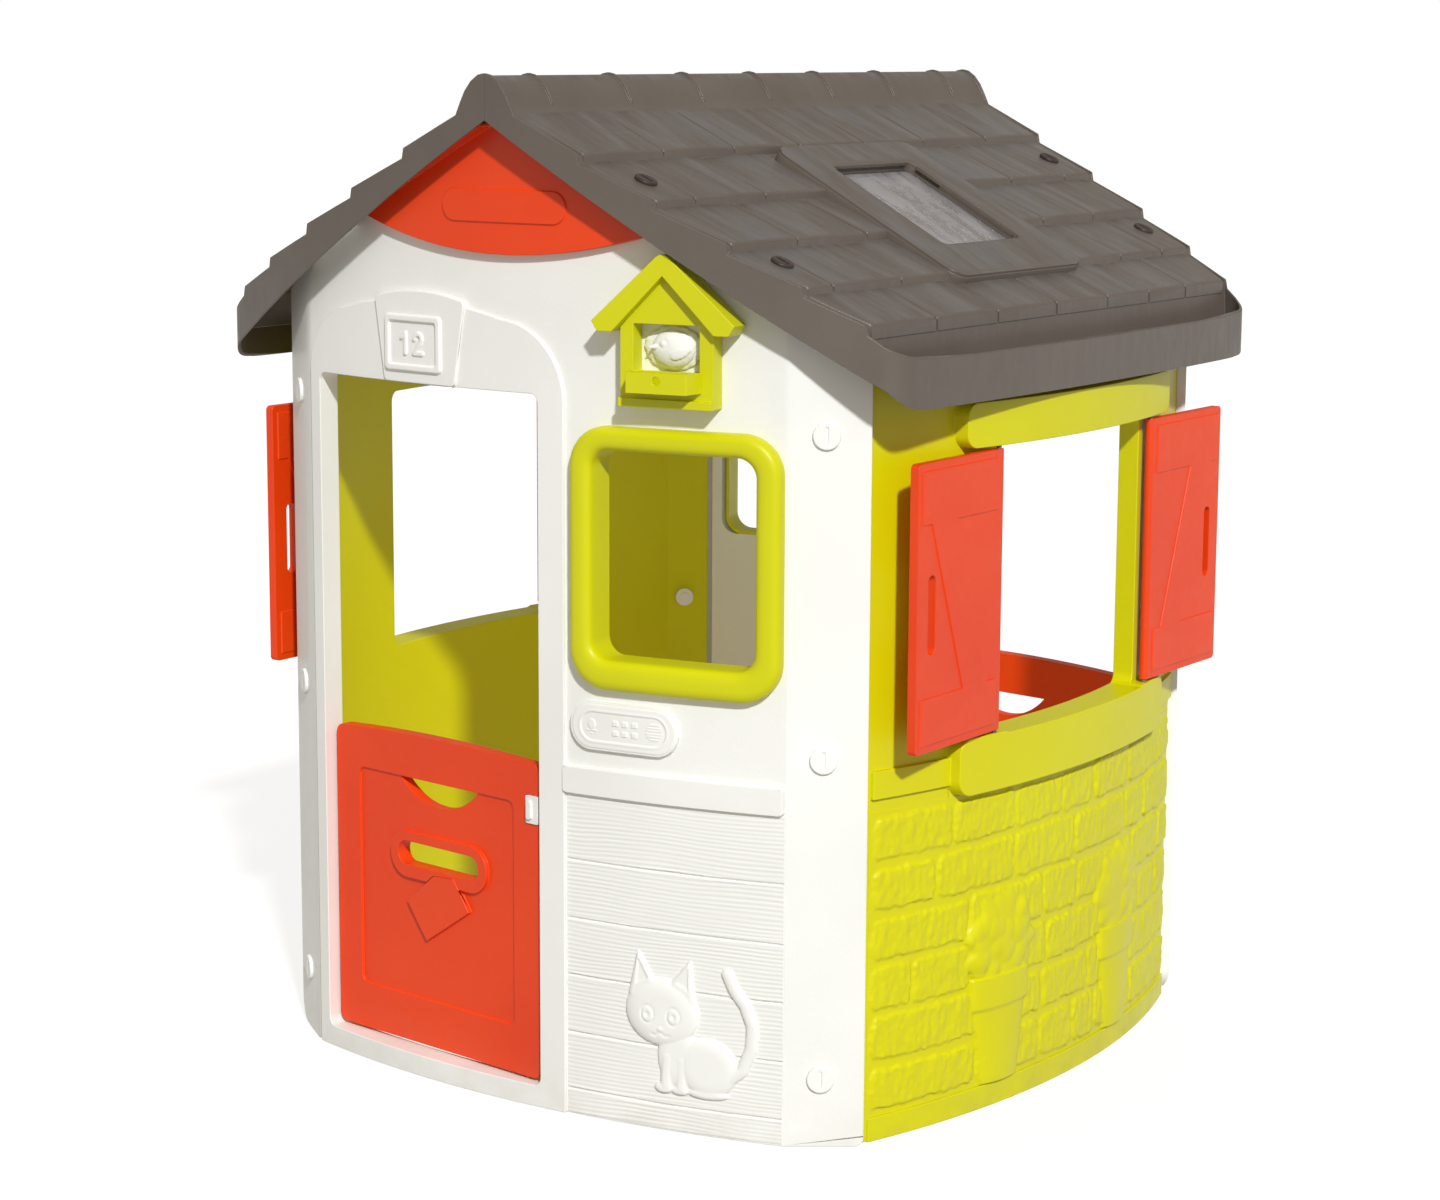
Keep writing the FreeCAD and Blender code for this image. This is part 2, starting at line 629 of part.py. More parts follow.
def make_bird_figure():
    along, out = front_tangent(BIRD_X)
    base = V(BIRD_X, front_y(BIRD_X), BIRD_Z0 + 102)
    body = Part.makeSphere(42, base - out * 24)
    for sign in (-1, 1):
        body = body.fuse(Part.makeSphere(32, base + along * (sign * 26) - out * 20))
    body = body.common(Part.makeCylinder(60, 60, base - out * 2.5, out))
    beak = Part.makeCone(7, 1, 13, base + along * (-18) + out * 9, along * (-0.8) + out * 0.6)
    body = body.fuse(beak)
    return body.cut(Part.makeCylinder(FRONT_R + GAP, 400, V(0, FRONT_CY, 1000))).removeSplitter()


def make_corner_screws():
    """Twelve plastic coin screws, three in each corner band."""
    solids = []
    for z in WALL_SCREW_ZS:
        p = band_point(WALL_SCREW_S, -0.1)
        p.z = z
        head = Part.makeCylinder(21.3, 6, p - BAND_IN * 6, BAND_IN)
        ends = [e for e in head.Edges if e.Curve.TypeId == "Part::GeomCircle"]
        outer = [e for e in ends if (e.CenterOfMass - p).Length > 3]
        head = head.makeFillet(2.5, outer)
        shank = Part.makeCylinder(9, 53, p - BAND_IN * 1, BAND_IN)
        slot = Part.makeBox(26, 4, 5, V(-13, -2, -2.5))
        slot.rotate(V(0, 0, 0), V(0, 1, 0), 90)
        slot.rotate(V(0, 0, 0), V(0, 0, 1), math.degrees(BAND_TURN) + 90)
        slot.translate(p - BAND_IN * 6.3)
        screw = head.fuse(shank).cut(slot).removeSplitter()
        solids.append(screw)
    right = Part.makeCompound(solids)
    left = right.mirror(V(0, 0, 0), V(1, 0, 0))
    front = right.Solids + left.Solids
    turned = []
    for shape in front:
        copy = shape.copy()
        copy.rotate(V(0, 0, 0), UP, 180)
        turned.append(copy)
    return Part.makeCompound(front + turned)


def make_corner_nuts():
    solids = []
    for z in WALL_SCREW_ZS:
        p = band_point(WALL_SCREW_S, BAND_T + GAP + FLANGE_T + GAP)
        p.z = z
        nut = Part.makeCylinder(17, 12, p, BAND_IN).cut(Part.makeCylinder(9.1, 20, p - BAND_IN * 2, BAND_IN))
        solids.append(nut)
        solids.append(nut.mirror(V(0, 0, 0), V(1, 0, 0)))
    turned = []
    for shape in solids:
        copy = shape.copy()
        copy.rotate(V(0, 0, 0), UP, 180)
        turned.append(copy)
    return Part.makeCompound(solids + turned)


def make_roof_screws():
    solids = []
    for x, y in ROOF_SCREWS:
        for sx in (-1, 1):
            for sy in (-1, 1):
                top = roof_top(x)
                head = sloped_disc(sx * x, sy * y, top, sx)
                shank = Part.makeCylinder(6, 66, V(sx * x, sy * y, top - 60), UP)
                solids.append(head.fuse(shank).removeSplitter())
    return Part.makeCompound(solids)


def sloped_disc(x, y, top, sx):
    disc = Part.makeCylinder(18, 8, V(0, 0, 0), UP)
    disc = disc.makeFillet(3, [e for e in disc.Edges if e.CenterOfMass.z > 7 and e.Length > 50])
    disc = disc.cut(Part.makeBox(24, 4, 5, V(-12, -2, 5.5)))
    disc.rotate(V(0, 0, 0), V(0, 1, 0), sx * math.degrees(math.atan(0.44)))
    disc.translate(V(x, y, top + 1.0))
    return disc


def make_drain_plugs():
    solids = []
    for sx in (-1, 1):
        for sy in (-1, 1):
            p = V(sx * 645, sy * 478, TROUGH_Z)
            plug = Part.makeCylinder(5.7, 14, p - UP * 9, UP)
            plug = plug.fuse(Part.makeCylinder(9, 3, p + UP * GAP, UP))
            solids.append(plug.removeSplitter())
    return Part.makeCompound(solids)


def turned(shape):
    copy = shape.copy()
    copy.rotate(V(0, 0, 0), UP, 180)
    return copy


parts = {}
parts["front_wall"] = make_front_wall()
parts["back_wall"] = turned(parts["front_wall"])
parts["right_wall"] = make_side_wall()
parts["left_wall"] = turned(parts["right_wall"])
parts["roof_right"] = make_roof_half()
parts["roof_left"] = turned(parts["roof_right"])
parts["skylight_right"] = make_skylight_pane()
parts["skylight_left"] = turned(parts["skylight_right"])
parts["gable_front"] = make_gable()
parts["gable_back"] = turned(parts["gable_front"])
parts["window_frame_front"] = make_window_ring()
parts["window_frame_back"] = turned(parts["window_frame_front"])
parts["bird_house"] = make_bird_house()
parts["bird_tray"] = make_bird_tray()
parts["bird_figure"] = make_bird_figure()
parts["front_door"] = make_door()
parts["back_door"] = turned(parts["front_door"])
parts["front_door_latch"] = make_latch()
parts["back_door_latch"] = turned(parts["front_door_latch"])
parts["front_door_brackets"] = make_door_brackets()
parts["back_door_brackets"] = turned(parts["front_door_brackets"])
parts["front_door_pins"] = make_door_pins()
parts["back_door_pins"] = turned(parts["front_door_pins"])
parts["shutter_right_front"] = make_shutter(-1)
parts["shutter_right_back"] = make_shutter(1)
parts["shutter_left_back"] = turned(parts["shutter_right_front"])
parts["shutter_left_front"] = turned(parts["shutter_right_back"])
parts["shutter_pins_right"] = make_shutter_pins()
parts["shutter_pins_left"] = turned(parts["shutter_pins_right"])
parts["corner_screws"] = make_corner_screws()
parts["corner_nuts"] = make_corner_nuts()
parts["roof_screws"] = make_roof_screws()
parts["gutter_drain_plugs"] = make_drain_plugs()

os.makedirs("parts", exist_ok=True)
for name, shape in parts.items():
    shape.exportStep("parts/" + name + ".step")
    box = shape.BoundBox
    print(name, "solids", len(shape.Solids), "valid", shape.isValid(),
          "x %.0f..%.0f y %.0f..%.0f z %.0f..%.0f" % (box.XMin, box.XMax, box.YMin, box.YMax, box.ZMin, box.ZMax),
          "vol_l %.2f" % (shape.Volume / 1e6))
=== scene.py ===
import math
import random

import bmesh
import bpy
from mathutils import Matrix, Vector, noise


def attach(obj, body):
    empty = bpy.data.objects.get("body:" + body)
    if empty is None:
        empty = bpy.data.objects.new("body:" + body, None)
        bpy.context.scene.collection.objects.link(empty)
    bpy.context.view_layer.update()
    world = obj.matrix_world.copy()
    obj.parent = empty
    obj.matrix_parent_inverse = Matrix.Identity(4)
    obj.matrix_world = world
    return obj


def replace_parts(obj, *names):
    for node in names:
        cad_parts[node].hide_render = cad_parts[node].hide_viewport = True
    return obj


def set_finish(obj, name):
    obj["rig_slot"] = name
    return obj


# Looks of the plastic playhouse. Metres, +Z up, front wall towards -Y, ridge along Y.

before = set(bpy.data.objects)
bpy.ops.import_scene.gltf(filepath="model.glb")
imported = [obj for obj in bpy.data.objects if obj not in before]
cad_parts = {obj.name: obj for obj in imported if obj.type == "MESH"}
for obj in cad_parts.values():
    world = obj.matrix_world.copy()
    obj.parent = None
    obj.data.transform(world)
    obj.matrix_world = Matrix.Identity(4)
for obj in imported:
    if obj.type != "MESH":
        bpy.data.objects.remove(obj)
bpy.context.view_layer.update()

WHITE = "white_plastic"
LIME = "lime_plastic"
GREY = "roof_plastic"


# ---------------------------------------------------------------- plan of the walls

def arc_radius(half_chord, sag):
    return (half_chord ** 2 + sag ** 2) / (2 * sag)


SEAM_X = 0.474
SEAM_Y = 0.580
FRONT_BOW = 0.066
SIDE_BOW = 0.0815
FRONT_R = arc_radius(SEAM_X, FRONT_BOW)
FRONT_CY = FRONT_R - SEAM_Y - FRONT_BOW
BAND_TURN = math.radians(35.96)
BAND_LENGTH = 0.123
BAND_STEP = 0.0181
SIDE_CORNER_X = SEAM_X + BAND_LENGTH * math.cos(BAND_TURN) - BAND_STEP * math.sin(BAND_TURN)
SIDE_CORNER_Y = SEAM_Y - BAND_LENGTH * math.sin(BAND_TURN) - BAND_STEP * math.cos(BAND_TURN)
SIDE_R = arc_radius(SIDE_CORNER_Y, SIDE_BOW)
SIDE_CX = SIDE_CORNER_X + SIDE_BOW - SIDE_R
EAVE_X = 0.636
VERGE_BOW = 0.131
VERGE_Y = 0.703
VERGE_INSET = 0.017
KERB_RIDGE_Z = 1.606
ROOF_R = arc_radius(EAVE_X, VERGE_BOW)
ROOF_SLOPE = math.atan(0.5447)


def on_front(x, z, out):
    """Point on the front wall at x and z, standing off it by out."""
    turn = math.asin(x / FRONT_R)
    y = FRONT_CY - math.sqrt(FRONT_R ** 2 - x ** 2)
    return Vector((x + math.sin(turn) * out, y - math.cos(turn) * out, z))


def on_side(y, z, out):
    """Point on the right wall at y and z, standing off it by out."""
    turn = math.asin(y / SIDE_R)
    return Vector((SIDE_CX + (SIDE_R + out) * math.cos(turn), (SIDE_R + out) * math.sin(turn), z))


def on_kerb(a, y, out):
    """Point on the plane of the skylight kerb, a down the slope from the ridge."""
    c, s = math.cos(ROOF_SLOPE), math.sin(ROOF_SLOPE)
    return Vector((a * c + out * s, y, KERB_RIDGE_Z - a * s + out * c))


def verge_y(x):
    """Half the length of the roof at x, which shrinks towards the eaves."""
    return VERGE_Y - (ROOF_R - math.sqrt(ROOF_R ** 2 - x ** 2))


# ---------------------------------------------------------------- mesh helpers

def clamp(t, low=0.0, high=1.0):
    return max(low, min(high, t))


def ease(t):
    t = clamp(t)
    return t * t * (3 - 2 * t)


def span(a, b, step):
    n = max(1, round((b - a) / step))
    return [a + (b - a) * i / n for i in range(n + 1)]


def finish_mesh(mesh, name, material, slot, body, angle):
    bm = bmesh.new()
    bm.from_mesh(mesh)
    bmesh.ops.recalc_face_normals(bm, faces=bm.faces)
    bm.to_mesh(mesh)
    bm.free()
    for polygon in mesh.polygons:
        polygon.use_smooth = True
    mesh.set_sharp_from_angle(angle=math.radians(angle))
    piece = bpy.data.objects.new(name, mesh)
    bpy.context.scene.collection.objects.link(piece)
    mesh.materials.append(material)
    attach(piece, body)
    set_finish(piece, slot)
    return piece


def make_piece(name, verts, faces, material, slot, body="house", angle=50):
    mesh = bpy.data.meshes.new(name)
    mesh.from_pydata([tuple(v) for v in verts], [], faces)
    return finish_mesh(mesh, name, material, slot, body, angle)


def half_turn(piece, name, body="house"):
    """The same moulding on the opposite side of the house."""
    mesh = piece.data.copy()
    mesh.transform(Matrix.Rotation(math.pi, 4, "Z"))
    other = bpy.data.objects.new(name, mesh)
    bpy.context.scene.collection.objects.link(other)
    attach(other, body)
    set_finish(other, piece["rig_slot"])
    return other


def sheet_faces(us, vs, place, height, floor, verts, faces):
    """Closed slab with a height field outside and a plain strip inside."""
    nu, nv = len(us), len(vs)
    base = len(verts)
    for u in us:
        for v in vs:
            verts.append(place(u, v, height(u, v)))
    low = len(verts)
    for u in us:
        verts.append(place(u, vs[0], floor(u, vs[0])))
        verts.append(place(u, vs[-1], floor(u, vs[-1])))
    for i in range(nu - 1):
        a = base + i * nv
        for j in range(nv - 1):
            faces.append((a + j, a + nv + j, a + nv + j + 1, a + j + 1))
        p, q = low + 2 * i, low + 2 * i + 2
        faces.append((p, p + 1, q + 1, q))
        faces.append((a, p, q, a + nv))
        faces.append((a + nv - 1, a + 2 * nv - 1, q + 1, p + 1))
    faces.append(tuple([low] + [base + j for j in range(nv)] + [low + 1]))
    last = base + (nu - 1) * nv
    faces.append(tuple([low + 2 * nu - 1] + [last + j for j in reversed(range(nv))] + [low + 2 * nu - 2]))


def relief(name, us, vs, place, height, floor, material, slot, body="house"):
    verts, faces = [], []
    sheet_faces(us, vs, place, height, lambda u, v: floor, verts, faces)
    return make_piece(name, verts, faces, material, slot, body)


def cut_relief(name, us, vs, place, height, sunk, floor, material, slot, body="house"):
    """Height field kept only where it rises above the sunk level, closed underneath."""
    level = [[height(u, v) for v in vs] for u in us]
    used = {}
    verts, faces, edges = [], [], {}

    def corner(i, j, lower):
        key = (i, j, lower)
        if key not in used:
            used[key] = len(verts)
            verts.append(place(us[i], vs[j], floor if lower else level[i][j]))
        return used[key]

    for i in range(len(us) - 1):
        for j in range(len(vs) - 1):
            ring = [(i, j), (i + 1, j), (i + 1, j + 1), (i, j + 1)]
            if max(level[a][b] for a, b in ring) <= sunk:
                continue
            faces.append(tuple(corner(a, b, False) for a, b in ring))
            faces.append(tuple(corner(a, b, True) for a, b in reversed(ring)))
            for k in range(4):
                edge = (ring[k], ring[(k + 1) % 4])
                if edge[::-1] in edges:
                    del edges[edge[::-1]]
                else:
                    edges[edge] = True
    for (a, b) in edges:
        faces.append((corner(*b, False), corner(*a, False), corner(*a, True), corner(*b, True)))
    return make_piece(name, verts, faces, material, slot, body)


def rounded_box(x, z, cx, cz, hx, hz, r):
    """Signed distance to a rounded rectangle."""
    dx = abs(x - cx) - hx + r
    dz = abs(z - cz) - hz + r
    return math.hypot(max(dx, 0), max(dz, 0)) + min(max(dx, dz), 0) - r


def stroke(x, z, points, r):
    """Signed distance to a thick polyline."""
    best = 1e9
    for (ax, az), (bx, bz) in zip(points, points[1:]):
        lx, lz = bx - ax, bz - az
        t = clamp(((x - ax) * lx + (z - az) * lz) / (lx * lx + lz * lz))
        best = min(best, math.hypot(x - ax - lx * t, z - az - lz * t))
    return best - r


def oval(x, z, cx, cz, rx, rz):
    """Roughly signed distance to an ellipse."""
    q = math.hypot((x - cx) / rx, (z - cz) / rz)
    return (q - 1) * min(rx, rz)


def swell(d, high, width):
    """Height of a softly rounded raised form at signed distance d."""
    if d >= 0:
        return 0.0
    t = clamp(-d / width)
    return high * math.sqrt(1 - (1 - t) ** 2)


def rounded_path(x0, x1, z0, z1, r, across, upward, bends=10):
    """Closed rounded rectangle, with the same number of points for any size."""
    points = []
    corners = [(x1 - r, z0 + r, -90), (x1 - r, z1 - r, 0), (x0 + r, z1 - r, 90), (x0 + r, z0 + r, 180)]
    starts = [(x0 + r, z0), (x1, z0 + r), (x1 - r, z1), (x0, z1 - r)]
    for k in range(4):
        cx, cz, first = corners[k]
        sx, sz = starts[k]
        a = math.radians(first)
        ex, ez = cx + r * math.cos(a), cz + r * math.sin(a)
        n = across if k % 2 == 0 else upward
        for i in range(n):
            points.append((sx + (ex - sx) * i / n, sz + (ez - sz) * i / n))
        for i in range(bends):
            b = a + math.pi / 2 * i / bends
            points.append((cx + r * math.cos(b), cz + r * math.sin(b)))
    return points


def swept_ring(name, outer, inner, profile, place, material, slot, body="house"):
    """Loop of cross-sections between two contours; a profile point is (share of the width, stand-off)."""
    verts, faces = [], []
    n, m = len(outer), len(profile)
    for (ox, oz), (ix, iz) in zip(outer, inner):
        for share, out in profile:
            verts.append(place(ox + (ix - ox) * share, oz + (iz - oz) * share, out))
    for i in range(n):
        for j in range(m):
            a, b = i * m + j, i * m + (j + 1) % m
            c, d = ((i + 1) % n) * m + (j + 1) % m, ((i + 1) % n) * m + j
            faces.append((a, b, c, d))
    return make_piece(name, verts, faces, material, slot, body, 60)


# ---------------------------------------------------------------- materials

def linear(value):
    value /= 255
    return value / 12.92 if value <= 0.04045 else ((value + 0.055) / 1.055) ** 2.4


def colour(r, g, b):
    return (linear(r), linear(g), linear(b), 1.0)


class Material:
    """A Principled material with its procedural inputs."""

    def __init__(self, name):
        self.data = bpy.data.materials.new(name)
        self.data.use_nodes = True
        self.tree = self.data.node_tree
        self.shader = self.tree.nodes["Principled BSDF"]
        self.place = self.tree.nodes.new("ShaderNodeTexCoord").outputs["Object"]

    def set(self, socket, value):
        self.shader.inputs[socket].default_value = value

    def feed(self, socket, output):
        self.tree.links.new(output, self.shader.inputs[socket])

    def node(self, kind, **inputs):
        node = self.tree.nodes.new(kind)
        for key, value in inputs.items():
            key = key.replace("_", " ")
            if isinstance(value, bpy.types.NodeSocket):
                self.tree.links.new(value, node.inputs[key])
            else:
                node.inputs[key].default_value = value
        return node

    def stretched(self, x, y, z):
        return self.node("ShaderNodeMapping", Vector=self.place, Scale=(x, y, z)).outputs[0]

    def noise(self, scale, detail=3.0, rough=0.5, warp=0.0, vector=None):
        node = self.node("ShaderNodeTexNoise", Vector=vector or self.place, Scale=scale, Detail=detail,
                         Roughness=rough, Distortion=warp)
        return node.outputs["Fac"]

    def cells(self, scale):
        node = self.node("ShaderNodeTexVoronoi", Vector=self.place, Scale=scale)
        return node.outputs["Distance"]

    def ramp(self, factor, low, high, start, end):
        node = self.node("ShaderNodeMapRange", Value=factor)
        node.inputs["From Min"].default_value = low
        node.inputs["From Max"].default_value = high
        node.inputs["To Min"].default_value = start
        node.inputs["To Max"].default_value = end
        return node.outputs[0]

    def mix(self, factor, a, b):
        node = self.tree.nodes.new("ShaderNodeMix")
        node.data_type = "RGBA"
        colours = [s for s in node.inputs if s.type == "RGBA"]
        factors = [s for s in node.inputs if s.name == "Factor" and s.type == "VALUE"]
        for socket, value in ((factors[0], factor), (colours[0], a), (colours[1], b)):
            if isinstance(value, bpy.types.NodeSocket):
                self.tree.links.new(value, socket)
            else:
                socket.default_value = value
        return [s for s in node.outputs if s.type == "RGBA"][0]

    def math(self, operation, a, b):
        node = self.tree.nodes.new("ShaderNodeMath")
        node.operation = operation
        for socket, value in zip(node.inputs, (a, b)):
            if isinstance(value, bpy.types.NodeSocket):
                self.tree.links.new(value, socket)
            else:
                socket.default_value = value
        return node.outputs[0]

    def height(self):
        return self.node("ShaderNodeSeparateXYZ", Vector=self.place).outputs["Z"]

    def bump(self, height, strength, distance):
        node = self.node("ShaderNodeBump", Strength=strength, Distance=distance, Height=height)
        self.feed("Normal", node.outputs[0])


def moulded_plastic(name, base, shade, scuff_and_highlight, grain, cell, dull=0.46, gloss=0.36, dusty=None):
    """Satin moulded plastic: colour drift, fine grain, scuffs, edges lightened as rubbed wear and as a painted
    highlight, and dust near the ground.
    """
    m = Material(name)
    drift = m.noise(2.6, 3, 0.55)
    tone = m.mix(m.ramp(drift, 0.35, 0.65, 0, 1), base, shade)
    scratches = m.noise(30, 6, 0.7, 1.6, m.stretched(1, 1, 3.2))
    scuff = m.ramp(scratches, 0.60, 0.74, 0, 0.35)
    tone = m.mix(scuff, tone, scuff_and_highlight)
    # Edges found by pointiness are lightened towards the scuff colour: partly rubbed wear, partly a painted edge
    # highlight.
    rubbed_and_highlit_edges = m.ramp(m.node("ShaderNodeNewGeometry").outputs["Pointiness"], 0.53, 0.60, 0, 0.30)
    tone = m.mix(rubbed_and_highlit_edges, tone, scuff_and_highlight)
    if dusty:
        low = m.ramp(m.height(), 0.0, 0.09, 1, 0)
        dust = m.math("MULTIPLY", low, m.ramp(m.noise(14, 5, 0.6), 0.38, 0.72, 0, 0.5))
        tone = m.mix(dust, tone, dusty)
    m.feed("Base Color", tone)
    patchy = m.noise(55, 4, 0.6)
    m.feed("Roughness", m.math("ADD", m.ramp(patchy, 0.3, 0.7, gloss, dull), m.math("MULTIPLY", scuff, 0.25)))
    fine = m.math("ADD", m.math("MULTIPLY", m.cells(cell), 0.7), m.noise(cell * 0.4, 3, 0.6))
    wavy = m.noise(9, 2, 0.5)
    m.bump(m.math("ADD", fine, m.math("MULTIPLY", wavy, 2.0)), grain, 0.0006)
    m.set("Specular IOR Level", 0.30)
    return m.data


def roof_material():
    """Brownish grey; the faces that look up carry faint bluish flow streaks along the slope, and the split of tone
    between them and the risers is partly painted light and shade.
    """
    m = Material("roof_grey")
    plain = m.mix(m.ramp(m.noise(4, 4, 0.6), 0.35, 0.65, 0, 1), colour(92, 83, 75), colour(99, 90, 82))
    streaks = m.noise(2.6, 5, 0.6, 0.7, m.stretched(1.5, 9, 1.5))
    top = m.mix(m.ramp(streaks, 0.40, 0.66, 0, 1), colour(88, 80, 72), colour(103, 97, 94))
    blotch = m.noise(5, 4, 0.6)
    top = m.mix(m.ramp(blotch, 0.50, 0.70, 0, 0.5), top, colour(101, 99, 103))
    fine = m.noise(20, 6, 0.7, 0.8, m.stretched(1, 6, 1))
    top = m.mix(m.ramp(fine, 0.56, 0.76, 0, 0.25), top, colour(80, 72, 64))
    # Tone chosen by how far a face looks up: the streaks are marks on the plastic, while the separate riser tone is
    # painted light and shade.
    upward_painted_shade_split = m.node("ShaderNodeSeparateXYZ", Vector=m.node("ShaderNodeNewGeometry").outputs["Normal"]).outputs["Z"]
    tone = m.mix(m.ramp(upward_painted_shade_split, 0.70, 0.86, 0, 1), plain, top)
    m.feed("Base Color", tone)
    m.feed("Roughness", m.ramp(m.noise(18, 4, 0.6, 0.5, m.stretched(1, 4, 1)), 0.3, 0.7, 0.34, 0.48))
    grain = m.math("ADD", m.cells(420), m.math("MULTIPLY", m.noise(70, 4, 0.6, 0.3, m.stretched(0.3, 1, 0.3)), 1.2))
    m.bump(grain, 0.24, 0.0006)
    m.set("Specular IOR Level", 0.5)
    return m.data


def skylight_material():
    m = Material("skylight_frosted")
    streaks = m.noise(7, 6, 0.7, 0.9, m.stretched(1.0, 3.2, 1.0))
    tone = m.mix(m.ramp(streaks, 0.36, 0.68, 0, 1), colour(178, 172, 176), colour(226, 224, 228))
    m.feed("Base Color", tone)
    m.feed("Roughness", m.ramp(streaks, 0.3, 0.7, 0.18, 0.42))
    m.bump(m.math("ADD", m.cells(260), m.noise(40, 4, 0.6)), 0.35, 0.0008)
    m.set("Transmission Weight", 0.72)
    m.set("IOR", 1.46)
    return m.data


white = moulded_plastic("white", colour(240, 240, 236), colour(233, 233, 228), colour(246, 246, 244), 0.26, 420,
                        dusty=colour(214, 208, 196))
white_smooth = moulded_plastic("white_smooth", colour(240, 240, 237), colour(234, 234, 230), colour(247, 247, 246),
                               0.07, 300)
lime = moulded_plastic("lime", colour(212, 209, 0), colour(209, 203, 0), colour(222, 218, 14), 0.24, 380,
                       dusty=colour(176, 172, 60))
lime_smooth = moulded_plastic("lime_smooth", colour(208, 207, 0), colour(203, 201, 0), colour(218, 217, 18),
                              0.10, 300)
red = moulded_plastic("red", colour(235, 68, 12), colour(228, 61, 10), colour(240, 92, 48), 0.10, 320,
                      dusty=colour(190, 96, 70))
grey = roof_material()
dark = moulded_plastic("dark_brown", colour(62, 50, 46), colour(52, 42, 39), colour(96, 84, 78), 0.14, 300)
metal_grey = moulded_plastic("pin_grey", colour(120, 118, 116), colour(104, 102, 100), colour(160, 158, 156),
                             0.08, 400, 0.40, 0.28)
clear = skylight_material()

# Material and width of the softened edges of each CAD node
NODE_LOOKS = {
    "front_wall": (white, 0.0016), "back_wall": (white, 0.0016),
    "right_wall": (lime, 0.0016), "left_wall": (lime, 0.0016),
    "roof_right": (grey, 0.0013), "roof_left": (grey, 0.0013),
    "skylight_right": (clear, 0.0006), "skylight_left": (clear, 0.0006),
    "gable_front": (red, 0.0016), "gable_back": (red, 0.0016),
    "bird_house": (lime_smooth, 0.0012), "bird_tray": (lime_smooth, 0.0010),
    "front_door": (red, 0.0015), "back_door": (red, 0.0015),
    "front_door_latch": (white_smooth, 0.0008), "back_door_latch": (white_smooth, 0.0008),
    "front_door_brackets": (white_smooth, 0.0006), "back_door_brackets": (white_smooth, 0.0006),
    "front_door_pins": (metal_grey, 0.0005), "back_door_pins": (metal_grey, 0.0005),
    "shutter_right_front": (red, 0.0012), "shutter_right_back": (red, 0.0012),
    "shutter_left_back": (red, 0.0012), "shutter_left_front": (red, 0.0012),
    "shutter_pins_right": (metal_grey, 0.0005), "shutter_pins_left": (metal_grey, 0.0005),
    "corner_screws": (white_smooth, 0.0007), "corner_nuts": (white_smooth, 0.0006),
    "roof_screws": (dark, 0.0006), "gutter_drain_plugs": (dark, 0.0006),
}

CREASE_ANGLE = math.radians(32)
FLAT_ANGLE = math.radians(0.5)
SHUTTER_WELD = 0.001
FINE_WELD = 0.00001

for node_name, (look, edge) in NODE_LOOKS.items():
    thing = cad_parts[node_name]
    mesh = thing.data
    if "custom_normal" in mesh.attributes:
        mesh.attributes.remove(mesh.attributes["custom_normal"])
    for polygon in mesh.polygons:
        polygon.use_smooth = True
    for spare in range(len(thing.material_slots)):
        thing.material_slots[spare].material = look
    weld = thing.modifiers.new("weld", "WELD")
    weld.merge_threshold = SHUTTER_WELD if "shutter" in node_name and look is red else FINE_WELD
    flat = thing.modifiers.new("whole_faces", "DECIMATE")
    flat.decimate_type = "DISSOLVE"
    flat.angle_limit = FLAT_ANGLE
    if look is grey:
        thing.modifiers.new("plain_faces", "TRIANGULATE")
    bevel = thing.modifiers.new("soft_edges", "BEVEL")
    bevel.width = edge
    bevel.segments = 3
    bevel.limit_method = "ANGLE"
    bevel.angle_limit = CREASE_ANGLE
    bevel.use_clamp_overlap = False
    shading = thing.modifiers.new("even_shading", "WEIGHTED_NORMAL")
    shading.keep_sharp = False


# ---------------------------------------------------------------- planks of the front wall

PLANK_JOINTS = (0.042, 0.134, 0.227, 0.319, 0.413)


def plank_height(x, z):
    plank = sum(1 for joint in PLANK_JOINTS if z > joint)
    shift = 3.7 * plank
    bend = noise.noise(Vector((x * 5 + shift, z * 16, shift))) * 0.0055
    bend += noise.noise(Vector((x * 17 + shift, z * 40, 4 + shift))) * 0.0012
    strength = 0.00026 + 0.00020 * noise.noise(Vector((x * 6, z * 22 + shift, 9)))
    ridge = math.cos(2 * math.pi * (z + bend) / 0.0068)
    fibre = noise.noise(Vector((x * 12, z * 480, shift))) * 0.00022
    level = 0.0012 + strength * ridge + fibre
    for joint in PLANK_JOINTS:
        d = z - joint - 0.0006 * noise.noise(Vector((x * 20, joint * 50, 1)))
        if abs(d) < 0.008:
            level -= 0.0031 * math.exp(-(d / 0.0014) ** 2)
            level += 0.0005 * math.exp(-((abs(d) - 0.0036) / 0.0018) ** 2)
    return level


planks = relief("front_planks", span(0.1085, 0.4725, 0.006), span(0.004, 0.5215, 0.0014),
                on_front, plank_height, -0.0045, white, WHITE)
half_turn(planks, "back_planks")


# ---------------------------------------------------------------- cat in low relief

CAT_X, CAT_Z = 0.204, 0.061


def pointed_ear(x, z, base, tip, half):
    """Signed distance to a form that tapers from base to tip."""
    ax, az = tip[0] - base[0], tip[1] - base[1]
    t = clamp(((x - base[0]) * ax + (z - base[1]) * az) / (ax * ax + az * az))
    return math.hypot(x - base[0] - ax * t, z - base[1] - az * t) - half * (1 - t) - 0.0022


